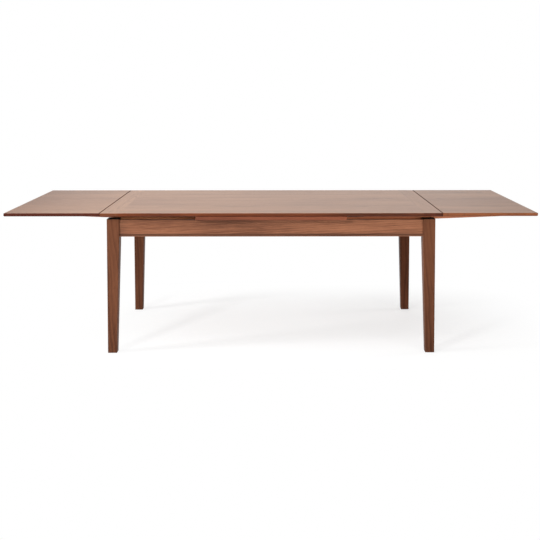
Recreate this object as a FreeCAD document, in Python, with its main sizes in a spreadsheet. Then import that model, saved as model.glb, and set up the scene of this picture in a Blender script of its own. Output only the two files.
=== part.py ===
"""Draw-leaf dining table, in millimetres.

A fixed top rests on a centre board, and a leaf at each end draws out on a pair of tapered
runners until it lies flush with the top. Both leaves are modelled drawn out. The origin is on
the floor under the middle of the top: X runs along the table, Y towards the rear and Z up.
"""
import FreeCAD, Part
import math
import os
import re
import Sketcher

Vector = FreeCAD.Vector
doc = FreeCAD.newDocument("draw_leaf_table")

# Driving sizes: one cell each, in millimetres.
SIZES = [
    ("table_height", "755", "floor to the face of the top"),
    ("top_length", "1800", "fixed top, end to end"),
    ("top_width", "1000", "top and leaves, front to rear"),
    ("top_thick", "18", "fixed top"),
    ("band_width", "97", "cross-grain band at each end of the top"),
    ("tongue_depth", "9", "tongue of the field in each band"),
    ("tongue_thick", "6", "tongue of the field in each band"),
    ("upper_round", "2", "rounding of the upper edges"),
    ("lower_bevel", "3.5", "bevel of the lower edges"),
    ("seam_round", "0.8", "rounding of the edges at the seams"),
    ("leaf_length", "500", "leaf, seam to outer end"),
    ("leaf_seam", "2", "gap between the top and a drawn leaf"),
    ("leaf_play", "1", "stowed leaf above the frame"),
    ("board_thick", "18", "centre board"),
    ("board_gap", "2", "centre board to a stowed leaf"),
    ("board_setback", "2", "edge of the centre board behind the edge of the top"),
    ("felt_thick", "0.7", "felt strips on the centre board"),
    ("felt_width", "24", "felt strips on the centre board"),
    ("felt_inset", "40", "end of a felt strip to the edge of the centre board"),
    ("rest_gap", "0.3", "air left between the felt and the top"),
    ("end_overhang", "31", "top past the legs at each end"),
    ("side_overhang", "31", "top past the legs at each side"),
    ("leg_top", "65", "square of a leg at its top"),
    ("leg_foot", "48", "square of a leg at the floor"),
    ("taper_drop", "26", "start of the leg's taper below the aprons"),
    ("leg_round", "3", "rounding of the leg's long edges"),
    ("pad_thick", "1", "black pad on each leg"),
    ("glide_height", "3", "glide under each foot"),
    ("glide_radius", "13", "glide under each foot"),
    ("apron_depth", "90", "aprons, top to bottom"),
    ("apron_drop", "4.5", "top of the aprons below the centre board"),
    ("apron_thick", "22", "aprons"),
    ("apron_setback", "12", "aprons behind the faces of the legs"),
    ("apron_round", "2", "rounding of the lower edges of the aprons"),
    ("block_height", "48", "corner blocks"),
    ("block_drop", "30", "corner blocks below the top of the aprons"),
    ("block_reach", "60", "corner block along each apron from the leg"),
    ("bolt_radius", "4", "leg bolts"),
    ("bore_play", "0.15", "bolt or pin in its hole in the wood"),
    ("bolt_grip", "38", "leg bolt inside the leg"),
    ("bolt_tail", "4", "leg bolt past its nut"),
    ("nut_thick", "6.5", "nut of a leg bolt"),
    ("nut_radius", "7.5", "nut of a leg bolt, across its corners"),
    ("washer_thick", "2", "washer of a leg bolt"),
    ("washer_radius", "11", "washer of a leg bolt"),
    ("bearer_thick", "25", "cross bearers"),
    ("bearer_depth", "60", "cross bearers, top to bottom"),
    ("bearer_inset", "25.5", "cross bearer inside the end of the centre board"),
    ("rail_width", "25", "guide rails between the runners"),
    ("side_play", "1", "runner to a guide rail or to the side of its notch"),
    ("runner_width", "28", "leaf runners"),
    ("runner_play", "0.4", "runner below the edge of the centre board"),
    ("leg_play", "3", "outer runner to the leg"),
    ("notch_depth", "4.5", "bottom of a runner below the outer top edge of the apron"),
    ("notch_play", "1.2", "runner to the bottom of its notch in the bearer"),
    ("tip_setback", "20", "tip of a runner inside the end of the leaf"),
    ("stop_length", "15", "stop block under the inner end of a runner"),
    ("stop_depth", "10", "stop block under the inner end of a runner"),
    ("tail_length", "2.5", "runner past its stop block"),
    ("pin_radius", "6", "guide pins of the top"),
    ("pin_play", "0.5", "guide pin in its hole in the centre board"),
    ("pin_spacing", "500", "guide pins, front to rear"),
    ("pin_seat", "10", "guide pin inside the top"),
    ("pin_bevel", "1", "bevel of the head of a guide pin"),
    ("pin_head_radius", "13", "head under each guide pin"),
    ("pin_head_thick", "5", "head under each guide pin"),
    ("lift_travel", "25", "lift of the top"),
    ("joint_play", "0.2", "tongue in its groove, each side"),
    ("cut_over", "5", "length of a cutting shape past the wood"),
]

# Places worked out from the driving sizes.
PLACES = [
    ("half_top", "top_length / 2"),
    ("half_width", "top_width / 2"),
    ("top_under", "table_height - top_thick"),
    ("field_end", "half_top - band_width"),
    ("board_high", "top_under - rest_gap - felt_thick"),
    ("frame_high", "board_high - board_thick"),
    ("board_end", "half_top - leaf_length - board_gap"),
    ("board_side", "half_width - board_setback"),
    ("leaf_thick", "board_thick - leaf_play"),
    ("leaf_under", "table_height - leaf_thick"),
    ("leaf_inner", "half_top + leaf_seam"),
    ("leaf_rise", "leaf_under - frame_high - leaf_play"),
    ("slope", "leaf_rise / (leaf_length + leaf_seam)"),
    ("leg_high", "frame_high - pad_thick"),
    ("leg_end", "half_top - end_overhang"),
    ("leg_side", "half_width - side_overhang"),
    ("leg_in_end", "leg_end - leg_top"),
    ("leg_in_side", "leg_side - leg_top"),
    ("apron_high", "frame_high - apron_drop"),
    ("apron_low", "apron_high - apron_depth"),
    ("apron_end", "leg_end - apron_setback"),
    ("apron_in_end", "apron_end - apron_thick"),
    ("apron_in_side", "leg_side - apron_setback - apron_thick"),
    ("apron_in", "apron_setback + apron_thick"),
    ("block_low", "apron_high - block_drop - block_height"),
    ("bolt_high", "block_low + block_height / 2"),
    ("block_face", "(leg_top + apron_in - block_reach) / 2 + block_reach"),
    ("block_wood", "(block_face - leg_top) * sqrt(2)"),
    ("bearer_out", "board_end - bearer_inset"),
    ("bearer_in", "bearer_out - bearer_thick"),
    ("rail_low", "apron_high - notch_depth - (apron_end - bearer_in) * slope - notch_play"),
    ("rail_out", "leg_in_side - leg_play - runner_width - side_play"),
    ("rail_in", "rail_out - rail_width"),
    ("outer_row", "rail_out + side_play + runner_width / 2"),
    ("inner_row", "rail_in - side_play - runner_width / 2"),
    ("notch_half", "runner_width / 2 + side_play"),
    ("runner_tail", "bearer_in - stop_length - tail_length"),
    ("runner_tip", "leaf_inner + leaf_length - tip_setback"),
    ("runner_lift", "(leaf_inner - board_end) * slope - runner_play"),
    ("runner_step", "frame_high + min(runner_lift; top_under - rest_gap - frame_high)"),
    ("pin_low", "frame_high - lift_travel - rest_gap"),
]

OWNER = {name: "sizes." for name, cell, note in SIZES}
OWNER.update({name: "places." for name, formula in PLACES})


def full(formula):
    """The formula with each known name led by the object that holds it."""
    return re.sub(r"[a-z_]+", lambda word: OWNER.get(word.group(), "") + word.group(), formula)


sizes = doc.addObject("Spreadsheet::Sheet", "sizes")
for row, (name, cell, note) in enumerate(SIZES, 1):
    sizes.set("A%d" % row, note)
    sizes.set("B%d" % row, cell)
    sizes.setAlias("B%d" % row, name)
doc.recompute()

places = doc.addObject("App::VarSet", "places")
for name, formula in PLACES:
    places.addProperty("App::PropertyFloat", name, "places")
    places.setExpression(name, full(formula))
doc.recompute()


def value(formula):
    return float(places.evalExpression(full(formula)))


def low_line(x):
    """Height of a drawn runner's lower edge at x: it slopes up over the end apron's top edge."""
    return "apron_high - notch_depth - (apron_end - (%s)) * slope" % x


# Ways of building, shared by the sub-parts.

def new_body(label):
    body = doc.addObject("PartDesign::Body", label)
    body.Label = label
    return body


def place(piece, x="0", y="0", z="0", turn=0):
    """Stand the piece at x, y, z, turned about the vertical."""
    piece.Placement = FreeCAD.Placement(Vector(), FreeCAD.Rotation(Vector(0, 0, 1), turn))
    for axis, formula in zip("xyz", (x, y, z)):
        piece.setExpression("Placement.Base." + axis, full(formula))
    return piece


def sketch_on(body, name, role, offset="0"):
    """A sketch on one of the body's origin planes, moved along the plane's normal."""
    plane = [item for item in body.Origin.OriginFeatures if item.Role == role][0]
    sketch = body.newObject("Sketcher::SketchObject", name)
    sketch.AttachmentSupport = [(plane, "")]
    sketch.MapMode = "FlatFace"
    sketch.setExpression("AttachmentOffset.Base.z", full(offset))
    return sketch


def fix_point(sketch, curve, point, x, y):
    for kind, formula, axis in (("DistanceX", x, -2), ("DistanceY", y, -1)):
        if formula == "0":
            sketch.addConstraint(Sketcher.Constraint("PointOnObject", curve, point, axis))
        else:
            rule = Sketcher.Constraint(kind, -1, 1, curve, point, value(formula))
            number = sketch.addConstraint(rule)
            sketch.setExpression("Constraints[%d]" % number, full(formula))


def draw_outline(sketch, points):
    """A closed outline of straight sides through the points."""
    first = sketch.GeometryCount
    count = len(points)
    spots = [Vector(value(x), value(y), 0) for x, y in points]
    for side in range(count):
        sketch.addGeometry(Part.LineSegment(spots[side], spots[(side + 1) % count]), False)
    for side in range(count):
        following = first + (side + 1) % count
        sketch.addConstraint(Sketcher.Constraint("Coincident", first + side, 2, following, 1))
    for side, (x, y) in enumerate(points):
        fix_point(sketch, first + side, 1, x, y)


def draw_circles(sketch, centres, radius):
    for x, y in centres:
        circle = Part.Circle(Vector(value(x), value(y), 0), Vector(0, 0, 1), value(radius))
        curve = sketch.addGeometry(circle, False)
        fix_point(sketch, curve, 3, x, y)
        number = sketch.addConstraint(Sketcher.Constraint("Radius", curve, value(radius)))
        sketch.setExpression("Constraints[%d]" % number, full(radius))


def draw_rounded_square(sketch, side, radius):
    """A square with one corner on the origin, its corners rounded by arcs."""
    far, near = "%s - %s" % (side, radius), radius
    sides = [((near, "0"), (far, "0")), ((side, near), (side, far)),
             ((far, side), (near, side)), (("0", far), ("0", near))]
    middles = [(far, near), (far, far), (near, far), (near, near)]
    for start, finish in sides:
        spots = [Vector(value(x), value(y), 0) for x, y in (start, finish)]
        line = sketch.addGeometry(Part.LineSegment(*spots), False)
        fix_point(sketch, line, 1, *start)
        fix_point(sketch, line, 2, *finish)
    for number, (x, y) in enumerate(middles):
        circle = Part.Circle(Vector(value(x), value(y), 0), Vector(0, 0, 1), value(radius))
        turn = math.pi / 2
        arc = sketch.addGeometry(Part.ArcOfCircle(circle, (number - 1) * turn, number * turn), False)
        sketch.addConstraint(Sketcher.Constraint("Tangent", number, 2, arc, 1))
        sketch.addConstraint(Sketcher.Constraint("Coincident", arc, 2, (number + 1) % 4, 1))


def rectangle(x_low, x_high, y_low, y_high):
    return [(x_low, y_low), (x_high, y_low), (x_high, y_high), (x_low, y_high)]


def pad(body, sketch, length, symmetric=False):
    feature = body.newObject("PartDesign::Pad", sketch.Name + "_pad")
    feature.Profile = sketch
    feature.setExpression("Length", full(length))
    feature.SideType = "Symmetric" if symmetric else "One side"
    doc.recompute()
    return feature


def pocket(body, sketch, length, symmetric=False, upward=False):
    """Cut the sketch out of the body, and make sure that the cut took wood away."""
    before = body.Shape.Volume
    feature = body.newObject("PartDesign::Pocket", sketch.Name + "_pocket")
    feature.Profile = sketch
    feature.setExpression("Length", full(length))
    feature.SideType = "Symmetric" if symmetric else "One side"
    feature.Reversed = upward
    doc.recompute()
    if not body.Shape.Volume < before:
        raise RuntimeError(feature.Name + " cut nothing")
    return feature


def dress(body, kind, size, test):
    """Fillet or chamfer the body's edges that pass the test."""
    base = body.Tip
    chosen = ["Edge%d" % number for number, edge in enumerate(base.Shape.Edges, 1) if test(edge)]
    feature = body.newObject("PartDesign::" + kind, body.Name + "_" + size)
    feature.Base = (base, chosen)
    feature.setExpression("Radius" if kind == "Fillet" else "Size", full(size))
    doc.recompute()
    return feature


def ends(edge):
    return edge.Vertexes[0].Point, edge.Vertexes[-1].Point


def lies_at(edge, axis, spot):
    """Whether both ends of the edge are at the spot along the axis, 0 to 2 for x, y and z."""
    return all(abs(point[axis] - spot) < 0.001 for point in ends(edge))


def runs_along(edge, axis):
    """Whether the edge is straight and mostly along the axis."""
    start, finish = ends(edge)
    side = finish - start
    return edge.Curve.TypeId == "Part::GeomLine" and abs(side[axis]) > 0.9 * side.Length > 0


def turned(name, points):
    """A piece turned about Z from an outline of radius and height."""
    body = new_body(name)
    sketch = sketch_on(body, name + "_outline", "XZ_Plane")
    draw_outline(sketch, points)
    feature = body.newObject("PartDesign::Revolution", name + "_turned")
    feature.Profile = sketch
    feature.ReferenceAxis = (sketch, ["V_Axis"])
    feature.Angle = 360
    doc.recompute()
    return body


def group(label, pieces):
    """Several loose pieces kept as one sub-part."""
    whole = doc.addObject("Part::Compound", label)
    whole.Label = label
    whole.Links = pieces
    return whole


# The legs and what sits on them share one frame: its origin is the outer corner of the leg on
# the floor, and its X and Y run inwards along the aprons.
CORNERS = [
    ("front_left", "-leg_end", "-leg_side", 0),
    ("front_right", "leg_end", "-leg_side", 90),
    ("rear_right", "leg_end", "leg_side", 180),
    ("rear_left", "-leg_end", "leg_side", 270),
]
DIAGONAL = FreeCAD.Rotation(Vector(0, 0, 1), Vector(-1, -1, 0))


def bore_corner(body, name, length):
    """A bolt hole from the corner block's open face outwards along the leg's diagonal."""
    before = body.Shape.Volume
    bore = body.newObject("PartDesign::SubtractiveCylinder", name)
    bore.Placement = FreeCAD.Placement(Vector(), DIAGONAL)
    bore.setExpression("Placement.Base.x", full("block_face"))
    bore.setExpression("Placement.Base.y", full("block_face"))
    bore.setExpression("Placement.Base.z", full("bolt_high"))
    bore.setExpression("Radius", full("bolt_radius + bore_play"))
    bore.setExpression("Height", full(length))
    doc.recompute()
    if not body.Shape.Volume < before:
        raise RuntimeError(name + " cut nothing")


def leg(label):
    """A square leg that tapers to the foot on its two inner faces only."""
    body = new_body(label)
    foot = sketch_on(body, label + "_foot", "XY_Plane", "glide_height")
    draw_rounded_square(foot, "leg_foot", "leg_round")
    knee = sketch_on(body, label + "_knee", "XY_Plane", "apron_low - taper_drop")
    draw_rounded_square(knee, "leg_top", "leg_round")
    shank = body.newObject("PartDesign::AdditiveLoft", label + "_shank")
    shank.Profile = foot
    shank.Sections = [knee]
    shank.Ruled = True
    head = sketch_on(body, label + "_head", "XY_Plane", "apron_low - taper_drop")
    draw_rounded_square(head, "leg_top", "leg_round")
    pad(body, head, "leg_high - apron_low + taper_drop")
    bore_corner(body, label + "_bore", "block_wood + bolt_grip")
    return body


def leg_pad(name):
    """The black pad between a leg and a stowed leaf."""
    body = new_body(name)
    square = sketch_on(body, name + "_square", "XY_Plane", "leg_high")
    draw_rounded_square(square, "leg_top", "leg_round")
    pad(body, square, "pad_thick")
    return body


def glide(name):
    """A turned glide under the foot, its lower edge bevelled."""
    bevel = "glide_height / 2"
    return turned(name, [("0", "0"), ("glide_radius - " + bevel, "0"), ("glide_radius", bevel),
                         ("glide_radius", "glide_height"), ("0", "glide_height")])


def corner_block(label):
    """A block glued across the corner behind the leg, notched round the leg's inner corner."""
    body = new_body(label)
    plan = sketch_on(body, label + "_plan", "XY_Plane", "block_low")
    draw_outline(plan, [("leg_top", "apron_in"), ("leg_top", "leg_top"), ("apron_in", "leg_top"),
                        ("apron_in", "leg_top + block_reach"),
                        ("leg_top + block_reach", "apron_in")])
    pad(body, plan, "block_height")
    bore_corner(body, label + "_bore", "block_wood + cut_over")
    return body


def leg_bolt(name):
    """A threaded bolt with its washer and nut, ready to lie along the diagonal."""
    shank = turned(name + "_shank", [
        ("0", "-washer_thick - nut_thick - bolt_tail"),
        ("bolt_radius", "-washer_thick - nut_thick - bolt_tail"),
        ("bolt_radius", "-washer_thick"), ("washer_radius", "-washer_thick"),
        ("washer_radius", "0"), ("bolt_radius", "0"),
        ("bolt_radius", "block_wood + bolt_grip - bolt_radius"), ("0", "block_wood + bolt_grip")])
    nut = doc.addObject("Part::Prism", name + "_nut")
    nut.Polygon = 6
    nut.setExpression("Circumradius", full("nut_radius"))
    nut.setExpression("Height", full("nut_thick"))
    nut.setExpression("Placement.Base.z", full("-washer_thick - nut_thick"))
    bolt = doc.addObject("Part::Fuse", name)
    bolt.Base = shank
    bolt.Tool = nut
    bolt.Placement = FreeCAD.Placement(Vector(), DIAGONAL)
    bolt.setExpression("Placement.Base.x", full("block_face"))
    bolt.setExpression("Placement.Base.y", full("block_face"))
    bolt.setExpression("Placement.Base.z", full("bolt_high"))
    return bolt


nodes = []
pads, glides, bolts = [], [], []
for corner, x, y, turn in CORNERS:
    nodes.append(place(leg("leg_" + corner), x, y, turn=turn))
    nodes.append(place(corner_block("corner_block_" + corner), x, y, turn=turn))
    pads.append(place(leg_pad("leg_pad_" + corner), x, y, turn=turn))
    bolts.append(place(group("leg_bolt_" + corner, [leg_bolt("bolt_" + corner)]), x, y, turn=turn))
    holder = group("glide_" + corner, [
        place(glide("foot_glide_" + corner), "leg_foot / 2", "leg_foot / 2")])
    glides.append(place(holder, x, y, turn=turn))
nodes += [group("leg_pads", pads), group("leg_bolts", bolts), group("foot_glides", glides)]


# The two halves of the frame are alike once turned about the vertical.
ROWS = (("front", "-"), ("rear", ""))
ENDS = (("right", 0, "outer_row"), ("left", 180, "inner_row"))


def long_apron(label):
    """The apron between two legs along the table: its outer face is at y 0."""
    body = new_body(label)
    section = sketch_on(body, label + "_section", "YZ_Plane")
    draw_outline(section, rectangle("0", "apron_thick", "apron_low", "apron_high"))
    pad(body, section, "2 * leg_in_end", symmetric=True)
    dress(body, "Fillet", "apron_round",
          lambda edge: runs_along(edge, 0) and lies_at(edge, 2, value("apron_low")))
    return body


def end_apron(label, row):
    """The apron at one end, notched on the slope for that end's two runners."""
    body = new_body(label)
    section = sketch_on(body, label + "_section", "XZ_Plane")
    draw_outline(section, rectangle("apron_in_end", "apron_end", "apron_low", "apron_high"))
    pad(body, section, "2 * leg_in_side", symmetric=True)
    dress(body, "Fillet", "apron_round",
          lambda edge: runs_along(edge, 1) and lies_at(edge, 2, value("apron_low")))
    for name, sign in ROWS:
        notch = sketch_on(body, label + "_notch_" + name, "XZ_Plane", sign + row)
        inner, outer = "apron_in_end - cut_over", "apron_end + cut_over"
        draw_outline(notch, [(inner, low_line(inner)), (outer, low_line(outer)),
                             (outer, "apron_high + cut_over"), (inner, "apron_high + cut_over")])
        pocket(body, notch, "2 * notch_half", symmetric=True)
    return body


def cross_bearer(label, near, far):
    """A bearer under the centre board, notched for a guide rail and a runner at each side."""
    body = new_body(label)
    face = sketch_on(body, label + "_face", "YZ_Plane", "bearer_in")
    side, low = "apron_in_side", "frame_high - bearer_depth"
    draw_outline(face, [
        ("-" + side, low), (side, low), (side, "frame_high"),
        (far, "frame_high"), (far, "rail_low"), (near, "rail_low"), (near, "frame_high"),
        ("-(%s)" % near, "frame_high"), ("-(%s)" % near, "rail_low"),
        ("-(%s)" % far, "rail_low"), ("-(%s)" % far, "frame_high"), ("-" + side, "frame_high")])
    pad(body, face, "bearer_thick")
    return body


def guide_rail(label):
    """A rail from end apron to end apron, between the rows of runners."""
    body = new_body(label)
    section = sketch_on(body, label + "_section", "YZ_Plane")
    draw_outline(section, rectangle("-rail_width / 2", "rail_width / 2", "rail_low", "apron_high"))
    pad(body, section, "2 * apron_in_end", symmetric=True)
    return body


PIN_ROWS = ("-pin_spacing / 2", "pin_spacing / 2")


def centre_board():
    """The fixed board that the top rests on and the leaves stow against."""
    body = new_body("centre_board")
    plan = sketch_on(body, "board_plan", "XY_Plane")
    draw_outline(plan, rectangle("-board_end", "board_end", "-board_side", "board_side"))
    pad(body, plan, "board_thick")
    dress(body, "Fillet", "seam_round",
          lambda edge: runs_along(edge, 0) and abs(edge.Vertexes[0].Y) > value("board_side") - 1)
    pin_holes = sketch_on(body, "board_pin_holes", "XY_Plane", "board_thick")
    draw_circles(pin_holes, [("0", y) for y in PIN_ROWS], "pin_radius + pin_play")
    pocket(body, pin_holes, "board_thick + cut_over")
    return place(body, z="frame_high")


def felt_strips():
    """Felt across the centre board, under the top."""
    strips = []
    end_strip = "board_end - felt_width"
    for name, x in (("left", "-(%s)" % end_strip), ("mid_left", "-(%s) / 3" % end_strip),
                    ("mid_right", "(%s) / 3" % end_strip), ("right", end_strip)):
        body = new_body("felt_strip_" + name)
        plan = sketch_on(body, body.Name + "_plan", "XY_Plane")
        length = "board_side - felt_inset"
        draw_outline(plan, rectangle("-felt_width / 2", "felt_width / 2", "-(%s)" % length, length))
        pad(body, plan, "felt_thick")
        strips.append(place(body, x, z="board_high"))
    return group("felt_strips", strips)


def runner(label):
    """A leaf runner: parallel under the frame, then tapered to its tip under the leaf."""
    body = new_body(label)
    side = sketch_on(body, label + "_side", "XZ_Plane")
    draw_outline(side, [
        ("runner_tail", low_line("runner_tail")), ("runner_tip", low_line("runner_tip")),
        ("runner_tip", "leaf_under"), ("leaf_inner", "leaf_under"), ("leaf_inner", "runner_step"),
        ("runner_tail", "frame_high - runner_play - (board_end - runner_tail) * slope")])
    pad(body, side, "runner_width", symmetric=True)
    return body


def stop_blocks(label, row):
    """The blocks under the runners' inner ends, which meet the bearer when the leaf is out."""
    blocks = []
    for name, sign in ROWS:
        body = new_body(label + "_" + name)
        side = sketch_on(body, body.Name + "_side", "XZ_Plane")
        inner, low = "bearer_in - stop_length", low_line("bearer_in") + " - stop_depth"
        draw_outline(side, [(inner, low), ("bearer_in", low), ("bearer_in", low_line("bearer_in")),
                            (inner, low_line(inner))])
        pad(body, side, "runner_width", symmetric=True)
        blocks.append(place(body, y=sign + row))
    return group(label, blocks)


def leaf(label):
    """A leaf, drawn out to its seam with the top."""
    body = new_body(label)
    plan = sketch_on(body, label + "_plan", "XY_Plane", "leaf_under")
    outer = "leaf_inner + leaf_length"
    draw_outline(plan, rectangle("leaf_inner", outer, "-half_width", "half_width"))
    pad(body, plan, "leaf_thick")
    high, low = value("table_height"), value("leaf_under")
    inner = value("leaf_inner")
    dress(body, "Fillet", "upper_round",
          lambda edge: lies_at(edge, 2, high) and not lies_at(edge, 0, inner))
    dress(body, "Chamfer", "lower_bevel",
          lambda edge: lies_at(edge, 2, low) and not lies_at(edge, 0, inner))
    dress(body, "Fillet", "seam_round",
          lambda edge: lies_at(edge, 2, high) and lies_at(edge, 0, inner))
    return body


nodes += [place(long_apron("apron_front"), y="-apron_in_side - apron_thick"),
          place(long_apron("apron_rear"), y="apron_in_side"),
          place(guide_rail("guide_rail_front"), y="-(rail_in + rail_out) / 2"),
          place(guide_rail("guide_rail_rear"), y="(rail_in + rail_out) / 2"),
          centre_board(), felt_strips()]
NOTCHES = {"right": ("rail_in", "outer_row + notch_half"), "left": ("inner_row - notch_half", "rail_out")}
for name, turn, row in ENDS:
    nodes.append(place(end_apron("apron_" + name, row), turn=turn))
    nodes.append(place(cross_bearer("cross_bearer_" + name, *NOTCHES[name]), turn=turn))
    for row_name, sign in ROWS:
        nodes.append(place(runner("%s_runner_%s" % (name, row_name)), y=sign + row, turn=turn))
    nodes.append(place(stop_blocks(name + "_stop_blocks", row), turn=turn))
    nodes.append(place(leaf(name + "_leaf"), turn=turn))


# The fixed top lifts on its guide pins to free the leaves.

def top_field():
    """The long-grain field of the top, with a tongue along each end."""
    body = new_body("top_field")
    plan = sketch_on(body, "field_plan", "XY_Plane")
    draw_outline(plan, rectangle("-field_end", "field_end", "-half_width", "half_width"))
    pad(body, plan, "top_thick")
    outer, high = value("half_width"), value("top_thick")
    dress(body, "Fillet", "upper_round",
          lambda edge: runs_along(edge, 0) and lies_at(edge, 2, high))
    dress(body, "Chamfer", "lower_bevel",
          lambda edge: runs_along(edge, 0) and lies_at(edge, 2, 0))
    tongue = sketch_on(body, "field_tongue", "XY_Plane", "(top_thick - tongue_thick) / 2")
    reach, side = "field_end + tongue_depth", "half_width - band_width / 4"
    draw_outline(tongue, rectangle("-(%s)" % reach, reach, "-(%s)" % side, side))
    pad(body, tongue, "tongue_thick")
    seats = sketch_on(body, "field_pin_seats", "XY_Plane")
    draw_circles(seats, [("0", y) for y in PIN_ROWS], "pin_radius + bore_play")
    pocket(body, seats, "pin_seat", upward=True)
    return place(body, z="top_under")


def end_band(label):
    """The cross-grain band at one end of the top, grooved for the field's tongue."""
    body = new_body(label)
    plan = sketch_on(body, label + "_plan", "XY_Plane")
    draw_outline(plan, rectangle("field_end", "half_top", "-half_width", "half_width"))
    pad(body, plan, "top_thick")
    groove = sketch_on(body, label + "_groove", "XY_Plane",
                       "(top_thick - tongue_thick) / 2 - joint_play")
    reach, side = "field_end + tongue_depth + joint_play", "half_width - band_width / 4 + joint_play"
    draw_outline(groove, rectangle("field_end - cut_over", reach, "-(%s)" % side, side))
    pocket(body, groove, "tongue_thick + 2 * joint_play", upward=True)
    high, joint, outer = value("top_thick"), value("field_end"), value("half_top")
    dress(body, "Fillet", "upper_round",
          lambda edge: lies_at(edge, 2, high) and runs_along(edge, 0))
    dress(body, "Chamfer", "lower_bevel",
          lambda edge: lies_at(edge, 2, 0) and runs_along(edge, 0))
    dress(body, "Fillet", "seam_round",
          lambda edge: lies_at(edge, 2, high) and lies_at(edge, 0, outer))
    return body


def guide_pins():
    """The pins that are set into the top: their heads stop the lift under the centre board."""
    pins = []
    for name, y in zip(("front", "rear"), PIN_ROWS):
        head_low, pin_high = "pin_low - pin_head_thick", "top_under + pin_seat"
        pin = turned("guide_pin_" + name, [
            ("0", head_low), ("pin_head_radius - pin_bevel", head_low),
            ("pin_head_radius", head_low + " + pin_bevel"), ("pin_head_radius", "pin_low"),
            ("pin_radius", "pin_low"), ("pin_radius", pin_high), ("0", pin_high)])
        pins.append(place(pin, y=y))
    return group("guide_pins", pins)


nodes += [top_field(), guide_pins()]
for name, turn, row in ENDS:
    nodes.append(place(end_band("top_end_band_" + name), z="top_under", turn=turn))

doc.recompute()
failed = [item.Name for item in doc.Objects if {"Invalid", "Error"} & set(item.State)]
failed += [node.Label for node in nodes if node.Shape.isNull() or not node.Shape.isValid()]
if failed:
    raise RuntimeError("failed: " + ", ".join(failed))

os.makedirs("parts", exist_ok=True)
for node in nodes:
    node.Shape.exportStep("parts/%s.step" % node.Label)
print(len(nodes), "sub-parts")
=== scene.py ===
"""Looks for a draw-leaf dining table in oiled walnut, with both leaves drawn out."""
import math

import bmesh
import bpy
from mathutils import Matrix, Vector
from mathutils.bvhtree import BVHTree


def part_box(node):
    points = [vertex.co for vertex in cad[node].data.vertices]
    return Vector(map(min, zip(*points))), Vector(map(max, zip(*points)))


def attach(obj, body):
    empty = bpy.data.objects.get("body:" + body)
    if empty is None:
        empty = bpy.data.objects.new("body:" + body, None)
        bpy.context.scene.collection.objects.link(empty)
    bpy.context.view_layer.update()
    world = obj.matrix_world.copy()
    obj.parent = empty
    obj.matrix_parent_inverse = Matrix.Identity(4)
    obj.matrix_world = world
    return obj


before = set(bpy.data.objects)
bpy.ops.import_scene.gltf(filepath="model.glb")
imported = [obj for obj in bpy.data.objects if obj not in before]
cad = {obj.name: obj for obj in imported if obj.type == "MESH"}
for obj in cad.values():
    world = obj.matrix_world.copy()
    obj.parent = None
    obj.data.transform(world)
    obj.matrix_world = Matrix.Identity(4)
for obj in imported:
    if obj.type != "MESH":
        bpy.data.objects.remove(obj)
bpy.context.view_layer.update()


# --- Legs -------------------------------------------------------------------------------------
# Solid walnut, square, tapered to the foot on the two inner faces. Each is sawn from a plank
# with its grain upright, oiled, and bolted through a corner block behind it.

class Flow:
    """A value on its way through a finish: arithmetic on flows adds the Math nodes it needs."""

    def __init__(self, tree, socket=None):
        self.tree = tree
        self.socket = socket

    def node(self, kind, settings=None, sockets=None, output=0):
        """The output of a new node, with flows or plain values led into its sockets."""
        made = self.tree.nodes.new(kind)
        for name, setting in (settings or {}).items():
            setattr(made, name, setting)
        for name, value in (sockets or {}).items():
            if isinstance(value, Flow):
                self.tree.links.new(value.socket, made.inputs[name])
            else:
                made.inputs[name].default_value = value
        return Flow(self.tree, made.outputs[output])

    def calc(self, operation, *values):
        return self.node("ShaderNodeMath", {"operation": operation}, dict(enumerate(values)))

    def __add__(self, other):
        return self.calc("ADD", self, other)

    __radd__ = __add__

    def __sub__(self, other):
        return self.calc("SUBTRACT", self, other)

    def __rsub__(self, other):
        return self.calc("SUBTRACT", other, self)

    def __mul__(self, other):
        return self.calc("MULTIPLY", self, other)

    def __truediv__(self, other):
        return self.calc("DIVIDE", self, other)

    def __pow__(self, power):
        return self.calc("POWER", self, power)

    def __abs__(self):
        return self.calc("ABSOLUTE", self)

    def __floor__(self):
        return self.calc("FLOOR", self)

    def most(self, *others):
        """The largest of this and the others."""
        largest = self
        for other in others:
            largest = self.calc("MAXIMUM", largest, other)
        return largest

    def ramp(self, low=0.0, high=1.0, floor=0.0, top=1.0):
        """The value carried from between low and high to between floor and top, held at both."""
        sockets = {"Value": self, "From Min": low, "From Max": high, "To Min": floor, "To Max": top}
        return self.node("ShaderNodeMapRange", {"interpolation_type": "SMOOTHSTEP"}, sockets)

    def blend(self, first, second):
        """The first colour where this is 0 and the second where it is 1."""
        return self.node("ShaderNodeMix", {"data_type": "RGBA"}, {0: self, 6: first, 7: second}, 2)

    def parts(self):
        """The x, y and z of a vector."""
        first = self.node("ShaderNodeSeparateXYZ", None, {0: self})
        return [Flow(self.tree, part) for part in first.socket.node.outputs]

    def bump(self, strength, depth):
        """The slope of a face whose height is this, up to a depth in metres."""
        return self.node("ShaderNodeBump", None,
                         {"Height": self, "Strength": strength, "Distance": depth})


def srgb(red, green, blue):
    """A colour written as it looks on a screen, 0 to 255, as the shader needs it."""
    parts = [part / 255 for part in (red, green, blue)]
    linear = [part / 12.92 if part < 0.04045 else ((part + 0.055) / 1.055) ** 2.4 for part in parts]
    return (*linear, 1.0)


def toned(color, factor):
    """A colour made darker by a factor under 1, or paler by one over 1."""
    return (*(part * factor for part in color[:3]), 1.0)


def new_finish(name):
    """An empty material, and a flow to start from."""
    finish = bpy.data.materials.new(name)
    finish.use_nodes = True
    return finish, Flow(finish.node_tree)


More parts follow.
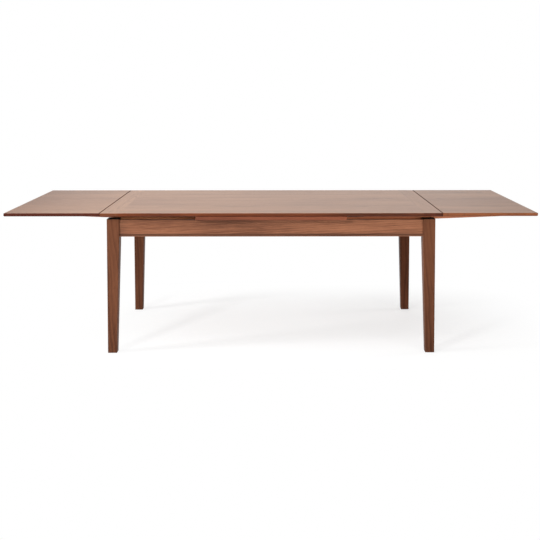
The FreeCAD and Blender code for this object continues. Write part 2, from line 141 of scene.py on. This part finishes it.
def lay(finish, color, rough, bump, **fixed):
    """Lead a colour, a roughness and a bump into the shader, and set its other sockets."""
    shader = finish.node_tree.nodes["Principled BSDF"]
    for name, flow in (("Base Color", color), ("Roughness", rough), ("Normal", bump)):
        finish.node_tree.links.new(flow.socket, shader.inputs[name])
    for name, value in fixed.items():
        shader.inputs[name.replace("_", " ")].default_value = value
    return finish


def noise(flow, x, y, z, detail=2.0, rough=0.5):
    """Soft noise from 0 to 1 at a place given in grains of the noise."""
    place = flow.node("ShaderNodeCombineXYZ", None, {0: x, 1: y, 2: z})
    sockets = {"Vector": place, "Scale": 1.0, "Detail": detail, "Roughness": rough}
    return flow.node("ShaderNodeTexNoise", None, sockets)


def place_on(flow, middle=(0.0, 0.0, 0.0)):
    """The place on the table, in metres from a middle point, as three flows."""
    spot = flow.node("ShaderNodeTexCoord", output="Object")
    return [part - start for part, start in zip(spot.parts(), middle)]


def walnut_grain(flow, along, across, deep, seed,
                 ring=0.009, heart=(0.0, 0.05), lean=0.0, wave=0.02):
    """Walnut sawn from a plank: its late wood, streaks, fibres, pores and clouds at a place.

    The year rings circle a heart that lies outside the piece and leans along it, so that a face
    over the heart shows long flames and a face beside it shows lines.
    """
    drift = noise(flow, along * 1.6 + seed, across * 6, deep * 6 + seed, 3.0) - 0.5
    sway = noise(flow, along * 6 - seed, across * 30 + seed, deep * 30) - 0.5
    side = across - heart[0] + drift * wave
    depth = deep - heart[1] + along * lean + drift * wave * 1.6
    turns = (side * side + depth * depth) ** 0.5 / ring + sway * 0.7
    year = math.floor(turns)
    season = turns - year
    hardness = noise(flow, year * 7.31 + seed, 0.5, 0.5, 0.0).ramp(0.3, 0.7, 0.2, 1.0)
    return {
        "late": season.ramp(0.25, 0.9) * (1 - season.ramp(0.9, 1.0)) * hardness,
        "streak": noise(flow, turns * 1.3 + seed, along * 2.5, 0.5, 4.0, 0.6),
        "fibre": noise(flow, along * 14 + seed, across * 520, deep * 520, 4.0, 0.62),
        "pores": noise(flow, along * 45, across * 1500 + seed, deep * 1500, 1.0).ramp(0.62, 0.72),
        "cloud": noise(flow, along * 1.4 + seed * 3, across * 9, deep * 9 - seed),
    }


usual_grain = {"late": 0.3, "streak": 0.5, "fibre": 0.5, "cloud": 0.5}


def darkness(grain, base, **weights):
    """How dark the wood is, 0 to 1: a base, and what each part of its grain adds or takes."""
    shade = base
    for part, weight in weights.items():
        shade = shade + (grain[part] - usual_grain[part]) * weight
    return shade


def lay_oiled(finish, color, grain, gloss, **fixed):
    """Lay a colour on wood, with the sheen of its oil and its open pores."""
    fibre, pores = grain["fibre"], grain["pores"]
    rough = gloss + (fibre - 0.5) * 0.16 + pores * 0.12
    return lay(finish, color, rough, (fibre * 0.35 - pores).bump(0.12, 0.0004), **fixed)


def turned_to(grain, x, y, z):
    """The same place as along, across and deep for a grain along one axis of the table."""
    return {"x": (x, y, z), "y": (y, x, z), "z": (z, x, y)}[grain]


def walnut(node, pale, dark, seed, grain="x", contrast=1.0, rings=0.5, gloss=0.42, tone_and_shade_slope=0.0,
           streak=0.0, ior=1.38, **cut):
    """Oiled walnut for one piece, sawn so that its heart lies beside the piece's own middle.

    It darkens along the grain by a given slope in a metre: painted shade, for light that falls off
    along the piece. A band of painted shade, of a strength from 0 to 1, can run along it just
    above the lower edge.
    """
    low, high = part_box(node)
    finish, flow = new_finish("walnut_" + node)
    along, across, deep = turned_to(grain, *place_on(flow, (low + high) / 2))
    figure = walnut_grain(flow, along, across, deep, seed, **cut)
    shade = darkness(figure, 0.45 + along * tone_and_shade_slope, late=rings * contrast, streak=0.7 * contrast,
                     fibre=0.8 * contrast, cloud=0.9 * contrast)
    color = shade.ramp().blend(pale, dark)
    color = (figure["pores"] * 0.45).blend(color, toned(dark, 0.45))
    if streak:
        # Painted shade: a dark band just above the lower edge.
        shade_band_height, shade_band_core, shade_band_reach = 0.0095, 0.002, 0.0095
        height = deep + (high.z - low.z) / 2
        beside = abs(height - shade_band_height).ramp(shade_band_core, shade_band_reach)
        color = ((1 - beside) * streak).blend(color, toned(dark, 0.3))
    return lay_oiled(finish, color, figure, gloss, IOR=ior)


def dress(names, finish):
    """Put the finish on CAD nodes."""
    for name in names:
        cad[name].data.materials.clear()
        cad[name].data.materials.append(finish)


corners = [row + "_" + side for row in ("front", "rear") for side in ("left", "right")]
leg_colors = (srgb(118, 74, 52), srgb(70, 42, 31))
# Painted shade: the rear right leg gets darker colours, for the shade of the top and aprons over
# it.
painted_shade_leg = {"rear_right": (srgb(112, 67, 46), srgb(65, 37, 27))}
# Every leg darkens toward its foot, painted shade for light that falls off toward the floor.
for number, corner in enumerate(corners):
    leg = "leg_" + corner
    pale, dark = painted_shade_leg.get(corner, leg_colors)
    dress([leg], walnut(leg, pale, dark, 3.1 + 7.7 * number, "z", contrast=0.95, rings=0.3,
                        tone_and_shade_slope=-0.5, ior=1.12, heart=(0.05, 0.10), lean=0.03, wave=0.012,
                        ring=0.007))


# --- Leg pads and glides ----------------------------------------------------------------------
# A thin black pad lies on the top of each leg, so that a stowed leaf slides over it, and a
# turned black plastic glide is nailed under each foot.

def matt(name, color, rough, grains):
    """A matt moulded or pressed finish with a fine uneven face, of so many grains in a metre."""
    finish, flow = new_finish(name)
    speck = noise(flow, *(part * grains for part in place_on(flow)), 3.0)
    shade = speck.ramp(0.25, 0.75).blend(toned(color, 0.75), color)
    return lay(finish, shade, rough + (speck - 0.5) * 0.1, speck.bump(0.3, 0.0002))


dress(["leg_pads"], matt("pad_black", srgb(22, 19, 18), 0.8, 900))
dress(["foot_glides"], matt("glide_black", srgb(30, 28, 27), 0.5, 600))


# --- Aprons -----------------------------------------------------------------------------------
# Four rails of solid walnut set back between the legs, flat sawn, so that their faces show long
# flames. The end aprons are notched for the runners.

# Each apron carries a band of painted shade just above its lower edge.
apron_pale, apron_dark = srgb(166, 109, 78), srgb(94, 54, 35)
# The long aprons darken toward the left and pale toward the right, painted shade and painted light.
for name, grain, seed, heart, lean, tone_and_shade_slope in (
        ("apron_front", "x", 11.3, (0.09, -0.12), -0.05, -0.13),
        ("apron_rear", "x", 16.3, (-0.09, -0.12), -0.05, -0.13),
        ("apron_left", "y", 17.9, (0.09, 0.02), 0.09, 0.0),
        ("apron_right", "y", 22.9, (-0.09, 0.02), 0.09, 0.0)):
    dress([name], walnut(name, apron_pale, apron_dark, seed, grain, contrast=1.25, rings=0.15,
                         tone_and_shade_slope=tone_and_shade_slope, streak=0.7, heart=heart, lean=lean, wave=0.03, ring=0.008))


# --- Corner blocks, bearers, rails and stop blocks --------------------------------------------
# Planed pale hardwood inside the frame, with only a thin oil on it: blocks glued in the corners,
# bearers from apron to apron, rails that guide the runners, and blocks screwed under the runners
# that stop the leaves.

inner_pale, inner_dark = srgb(224, 158, 116), srgb(186, 118, 82)
inner_names = {
    "x": ["guide_rail_front", "guide_rail_rear", "left_stop_blocks", "right_stop_blocks"],
    "y": ["cross_bearer_left", "cross_bearer_right"],
    "z": ["corner_block_" + corner for corner in corners],
}
for grain, names in inner_names.items():
    for number, name in enumerate(names):
        dress([name], walnut(name, inner_pale, inner_dark, 4.4 + 3.1 * number, grain,
                             contrast=0.7, gloss=0.6, heart=(0.03, -0.08), lean=0.02))


# --- Leg bolts and guide pins -----------------------------------------------------------------
# Turned steel, zinc plated: a bolt, washer and nut behind each leg, and the two pins that the
# top lifts on.

def plated_steel():
    """Zinc plated steel, cloudy, with the fine marks of its turning."""
    finish, flow = new_finish("zinc_steel")
    x, y, z = place_on(flow)
    cloud = noise(flow, x * 260, y * 260, z * 260, 3.0)
    turning = noise(flow, x * 90, y * 90, z * 2600)
    color = cloud.ramp(0.3, 0.7).blend(srgb(172, 172, 166), srgb(206, 205, 198))
    return lay(finish, color, 0.3 + cloud * 0.2, turning.bump(0.15, 0.0001), Metallic=1.0)


steel = plated_steel()
dress(["leg_bolts", "guide_pins"], steel)


# --- Centre board and felt --------------------------------------------------------------------
# A fixed walnut board on the bearers, as long as the space between the stowed leaves, with felt
# strips across it that the top rests on.

dress(["centre_board"], walnut("centre_board", srgb(135, 74, 49), srgb(84, 41, 27), 23.7,
                               contrast=1.1, rings=0.3, heart=(0.1, -0.12), lean=0.02, ring=0.008))
dress(["felt_strips"], matt("felt_dark", srgb(52, 46, 42), 0.95, 1400))


# --- Leaf runners -----------------------------------------------------------------------------
# Walnut runners screwed up into each leaf, tapered to a thin tip, that slope through the
# notches of the end apron. The left ones are made paler, painted light that lifts their shade.

runner_pale, runner_dark = srgb(212, 133, 94), srgb(158, 87, 59)
runner_names = [side + "_runner_" + row for side in ("left", "right") for row in ("front", "rear")]
for number, name in enumerate(runner_names):
    # Painted light: the left runners are made paler to lift the shade under the top.
    tone = 1.2 if "left" in name else 1.0
    dress([name], walnut(name, toned(runner_pale, tone), toned(runner_dark, tone),
                         31.3 + 3 * number, heart=(0.05, 0.1), lean=0.02, ring=0.007))


# --- Screws -----------------------------------------------------------------------------------
# Zinc plated wood screws with countersunk heads and cross recesses: three up through each runner
# into its leaf, and one up through each stop block into its runner.

head_radius, head_rim, head_sink, head_proud = 0.0041, 0.0004, 0.0006, 0.0002
arm_reach, arm_half, recess_depth = 0.0023, 0.0005, 0.0012
head_sides = 24
circle = [(math.cos(math.tau * step / head_sides), math.sin(math.tau * step / head_sides))
          for step in range(head_sides)]
quarter = [(arm_half, arm_reach), (arm_half, arm_half), (arm_reach, arm_half)]
cross = []
for across, up in ((1, 1), (1, -1), (-1, -1), (-1, 1)):
    cross += [(x * across, y * up) for x, y in (quarter if across == up else quarter[::-1])]


def add_head(heads, spot, out):
    """One screw head in the wood at a spot, facing out: its rim, its flat and its cross recess."""
    place = Matrix.Translation(spot) @ out.to_track_quat("Z", "Y").to_matrix().to_4x4()
    loops, rings = [], []
    for outline, size, height in ((circle, head_radius, -head_sink),
                                  (circle, head_radius, 0.0),
                                  (circle, head_radius - head_rim, head_proud),
                                  (cross, 1.0, head_proud),
                                  (cross, 1.0, head_proud - recess_depth)):
        loop = [heads.verts.new(place @ Vector((x * size, y * size, height))) for x, y in outline]
        rings.append([heads.edges.new((loop[i - 1], loop[i])) for i in range(len(loop))])
        loops.append(loop)
    sunk, rim, flat, mouth, floor = loops
    for low, high in ((sunk, rim), (rim, flat), (mouth, floor)):
        for i in range(len(low)):
            heads.faces.new((low[i - 1], low[i], high[i], high[i - 1]))
    bmesh.ops.triangle_fill(heads, use_beauty=True, edges=rings[2] + rings[3])
    heads.faces.new(floor)


def drive_screws(name, holes):
    """Screws at places given as (node, x, y), each in the underside of its node."""
    heads = bmesh.new()
    start_height = 0.3
    for node, x, y in holes:
        wood = cad[node].data
        under = BVHTree.FromPolygons([corner.co for corner in wood.vertices],
                                     [face.vertices for face in wood.polygons])
        spot, out, _, _ = under.ray_cast(Vector((x, y, start_height)), Vector((0, 0, 1)))
        add_head(heads, spot, out)
    bmesh.ops.recalc_face_normals(heads, faces=heads.faces)
    mesh = bpy.data.meshes.new(name)
    heads.to_mesh(mesh)
    heads.free()
    mesh.materials.append(steel)
    screws = bpy.data.objects.new(name, mesh)
    bpy.context.scene.collection.objects.link(screws)
    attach(screws, "frame")


screw_reaches = (0.96, 1.12, 1.28)
runner_holes, block_holes = [], []
for runner in runner_names:
    left = "left" in runner
    low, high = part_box(runner)
    middle = (low.y + high.y) / 2
    runner_holes += [(runner, -reach if left else reach, middle) for reach in screw_reaches]
    blocks = "left_stop_blocks" if left else "right_stop_blocks"
    low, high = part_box(blocks)
    block_holes.append((blocks, (low.x + high.x) / 2, middle))
drive_screws("runner_screws", runner_holes)
drive_screws("stop_block_screws", block_holes)


# --- Leaves and top ---------------------------------------------------------------------------
# Board cores veneered with walnut in strips laid edge to edge, lipped all round with solid
# walnut, and oiled to a satin sheen. The top has a cross-grain band at each end.

strip_width, strip_start = 0.299, -0.425
seam_reach, seam_half = 0.901, 0.004
face_pale, face_dark = srgb(168, 124, 92), srgb(112, 74, 50)
# The pale of the painted highlight on the upper arris, and the near-black of the seams.
arris_highlight_pale, seam_oil_and_shade = srgb(230, 196, 170), srgb(62, 33, 20)


def veneered(node, seed, lip_pale, lip_dark, arris_highlight, grain="x", tone_and_shade_slope=0.0, end_shade_slope=0.0):
    """Strips of walnut veneer on the faces, a lipping on the edges, and near-black seams: dark oil,
    with painted shade for the narrow gap.

    The upper arris carries a pale painted highlight. In a metre, the lipping darkens by a slope
    from left to right, and the face darkens by painted shade toward the end of the table.
    """
    _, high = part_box(node)
    finish, flow = new_finish("veneer_" + node)
    x, y, z = place_on(flow)
    outward = abs(x)
    normal_x, _, normal_z = flow.node("ShaderNodeTexCoord", output="Normal").parts()
    along, across, _ = turned_to(grain, x, y, z)

    strips = (across - strip_start) / strip_width
    number = math.floor(strips)
    off_middle = strips - number - 0.5
    shift = number * 3.7 + seed
    figure = walnut_grain(flow, along + shift, off_middle * strip_width, 0.0, seed,
                          heart=(0.04, -0.045), wave=0.06, ring=0.010)
    tone = noise(flow, shift * 5.1, 0.3, 0.7, 0.0) - 0.5
    # Painted shade: the face darkens toward the end of the table by the given slope.
    face_base = 0.466 + tone * 0.45 + (outward - 1.0) * end_shade_slope
    shade = darkness(figure, face_base, late=0.42, fibre=0.7, cloud=0.7)
    face = shade.ramp().blend(face_pale, face_dark)
    joint = 1 - (0.5 - abs(off_middle)).ramp(0.002, 0.006)
    face = (joint * 0.55).blend(face, toned(face_dark, 0.5))

    lip_figure = walnut_grain(flow, along, across * 2, z - high.z, seed + 2,
                              heart=(0.0, 0.03), lean=0.01, ring=0.006)
    shade = darkness(lip_figure, 0.44 + x * tone_and_shade_slope, late=0.3, streak=0.4, fibre=0.8, cloud=1.1)
    lip = shade.ramp().blend(lip_pale, lip_dark)

    color = abs(normal_z).ramp(0.75, 0.95).blend(lip, face)
    color = (figure["pores"] * 0.4).blend(color, toned(face_dark, 0.45))
    # Painted highlight: a pale line along the upper arris.
    arris = normal_z.ramp(0.15, 0.5) * (1 - normal_z.ramp(0.9, 0.99))
    color = (arris * arris_highlight).blend(color, arris_highlight_pale)
    # Near-black at the seams: dark oil, and painted shade of the narrow gap between leaf and top.
    beside_seam = (seam_half - abs(outward - seam_reach)).ramp(0.0, 0.001)
    seam = beside_seam * abs(normal_x).ramp(0.2, 0.5).most(normal_z.ramp(0.3, 0.6))
    color = (seam * 0.9).blend(color, seam_oil_and_shade)
    return lay_oiled(finish, color, figure, 0.34 + seam * 0.5,
                     IOR=1.45, Specular_Tint=(1.0, 0.6, 0.5, 1.0))


# Each piece: the lipping's pale and dark, the strength of the painted arris highlight, the grain,
# the lipping's darkening from left to right, and the painted shade toward the end.
top_pieces = {
    "top_field": (srgb(112, 56, 31), srgb(60, 26, 13), 0.25, "x", 0.22),
    "top_end_band_left": (srgb(122, 69, 44), srgb(82, 41, 25), 0.35, "y"),
    "top_end_band_right": (srgb(86, 38, 20), srgb(54, 21, 10), 0.1, "y"),
    # The left leaf's face darkens toward its end, painted shade.
    "left_leaf": (srgb(74, 29, 18), srgb(50, 17, 10), 0.0, "x", 0.0, 0.85),
    "right_leaf": (srgb(150, 89, 54), srgb(106, 56, 33), 0.1),
}
for number, (name, looks) in enumerate(top_pieces.items()):
    dress([name], veneered(name, 2.3 + 9.1 * number, *looks))


# --- Floor, light and camera ------------------------------------------------------------------
# A white studio: a pale floor under the table that fades into white, a key lamp high in front on
# the left, a broad soft lamp low in front on the right, one over the table, and one each at the
# left, the right and the rear.

def ray_kinds(flow):
    """Whether a ray comes from the camera, from a shiny face or through glass, each 0 or 1."""
    return [flow.node("ShaderNodeLightPath", output=kind)
            for kind in ("Is Camera Ray", "Is Glossy Ray", "Is Transmission Ray")]


def glow(flow, strength):
    return flow.node("ShaderNodeEmission", None, {"Color": (1, 1, 1, 1), "Strength": strength})


def mixed(factor, first, second):
    """The first shader where the factor is 0 and the second where it is 1."""
    return factor.node("ShaderNodeMixShader", None, {0: factor, 1: first, 2: second})


floor_reach = 14.0
floor_mesh = bpy.data.meshes.new("studio_floor")
floor_mesh.from_pydata([(-floor_reach, -floor_reach, 0), (floor_reach, -floor_reach, 0),
                        (floor_reach, floor_reach, 0), (-floor_reach, floor_reach, 0)],
                       [], [(0, 1, 2, 3)])
floor = bpy.data.objects.new("studio_floor", floor_mesh)
bpy.context.scene.collection.objects.link(floor)

floor_finish, flow = new_finish("studio_floor")
tree = floor_finish.node_tree
plain = tree.nodes["Principled BSDF"]
plain.inputs["Base Color"].default_value = (0.4, 0.4, 0.4, 1)
plain.inputs["Roughness"].default_value = 0.9
plain.inputs["Specular IOR Level"].default_value = 0.0
pale_middle, pale_half_x, pale_half_y = (0.25, 0.2, 0.0), 1.4, 0.9
x, y, _ = place_on(flow, pale_middle)
square_x, square_y = x * x / pale_half_x ** 2, y * y / pale_half_y ** 2
far = ((square_x ** 2.0 + square_y ** 2.0) ** 0.25).ramp(0.35, 1.1)
dull = flow.node("ShaderNodeBsdfDiffuse", None, {"Color": (0.5, 0.5, 0.5, 1)})
near = flow.node("ShaderNodeAddShader", None, {0: dull, 1: glow(flow, 0.52)})
look = mixed(far, near, glow(flow, 1.0))
camera_ray, glossy_ray, glass_ray = ray_kinds(flow)
total = mixed(camera_ray.most(glossy_ray, glass_ray), Flow(tree, plain.outputs[0]), look)
tree.links.new(total.socket, tree.nodes["Material Output"].inputs["Surface"])
floor_mesh.materials.append(floor_finish)

world = bpy.data.worlds.new("studio")
bpy.context.scene.world = world
world.use_nodes = True
sky = Flow(world.node_tree)
fill = 0.32
camera_ray, glossy_ray, glass_ray = ray_kinds(sky)
aside, ahead, _ = sky.node("ShaderNodeTexCoord", output="Generated").parts()
wall = ahead.ramp(0.0, 0.4, 0.12, 1.0) * abs(aside).ramp(0.18, 0.42, 1.0, 0.35)
wall = camera_ray.most(wall)
strength = fill + camera_ray.most(glossy_ray, glass_ray) * (wall - fill)
back = world.node_tree.nodes["Background"]
back.inputs["Color"].default_value = (1, 1, 1, 1)
world.node_tree.links.new(strength.socket, back.inputs["Strength"])

lamps = {
    "key": ((-3.0, -4.6, 3.0), (0.7, 0.7), 132),
    "front": ((3.1, -6.1, 1.35), (4.6, 1.7), 175),
    "over": ((-0.8, -0.7, 3.4), (4.0, 1.6), 50),
    "left": ((-5.0, -1.6, 1.8), (1.0, 1.0), 210),
    "right": ((5.2, 1.0, 1.5), (1.5, 1.0), 70),
    "rear": ((0.5, 5.6, 1.6), (4.0, 1.2), 110),
}
mirrored_lamps = ("key", "over")
aim = Vector((0, 0, 0.6))
for name, (spot, (wide, tall), power) in lamps.items():
    lamp = bpy.data.lights.new(name, "AREA")
    lamp.shape = "RECTANGLE"
    lamp.size, lamp.size_y, lamp.energy = wide, tall, power
    stand = bpy.data.objects.new(name, lamp)
    stand.location = spot
    stand.rotation_euler = (Vector(spot) - aim).to_track_quat("Z", "Y").to_euler()
    stand.visible_glossy = name in mirrored_lamps
    bpy.context.scene.collection.objects.link(stand)

image_side = 540
focal_px, centre_px = 862.5, (280.9, 131.35)
lens = bpy.data.cameras.new("camera")
lens.sensor_width = 36.0
lens.lens = focal_px / image_side * lens.sensor_width
lens.shift_x = (image_side / 2 - centre_px[0]) / image_side
lens.shift_y = (centre_px[1] - image_side / 2) / image_side
lens.clip_end = 100
camera = bpy.data.objects.new("camera", lens)
camera.location = (0.025, -4.995, 1.42)
camera.rotation_euler = (math.radians(87), 0, math.radians(-0.33))
bpy.context.scene.collection.objects.link(camera)
bpy.context.scene.camera = camera
bpy.context.scene.view_settings.view_transform = "Standard"
